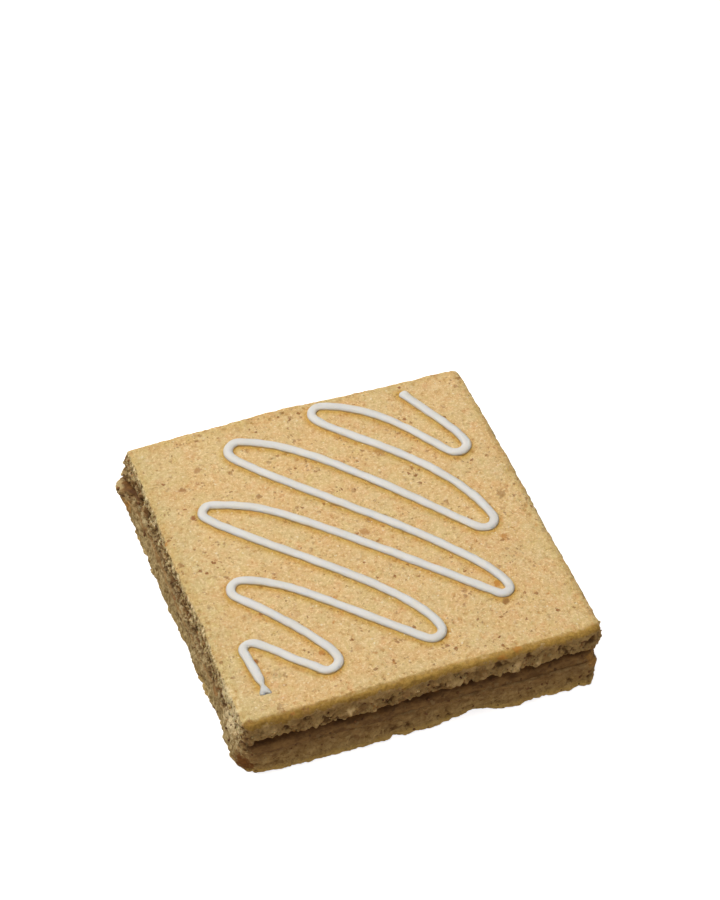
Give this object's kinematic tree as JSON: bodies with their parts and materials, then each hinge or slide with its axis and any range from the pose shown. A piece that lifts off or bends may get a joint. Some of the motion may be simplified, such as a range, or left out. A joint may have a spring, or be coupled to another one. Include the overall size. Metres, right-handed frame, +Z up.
{
  "type": "filled shortbread biscuit",
  "caption": "Square layered shortbread biscuit with a jam filling between its crumbly layers and a zigzag of white icing piped across the top.",
  "frame": {"origin": "middle of the base, on the surface the biscuit rests on", "axes": "+Z up through the layers to the iced face, +X towards the right edge and +Y towards the back edge"},
  "size_m": [0.0689, 0.0722, 0.0143],
  "materials": {
    "shortbread_top": "matte",
    "jam_filling": "satin",
    "shortbread_base": "matte",
    "icing_white": "matte"
  },
  "bodies": {
    "root": {"top_biscuit": "shortbread_top", "filling": "jam_filling", "bottom_biscuit": "shortbread_base"}
  },
  "joints": []
}
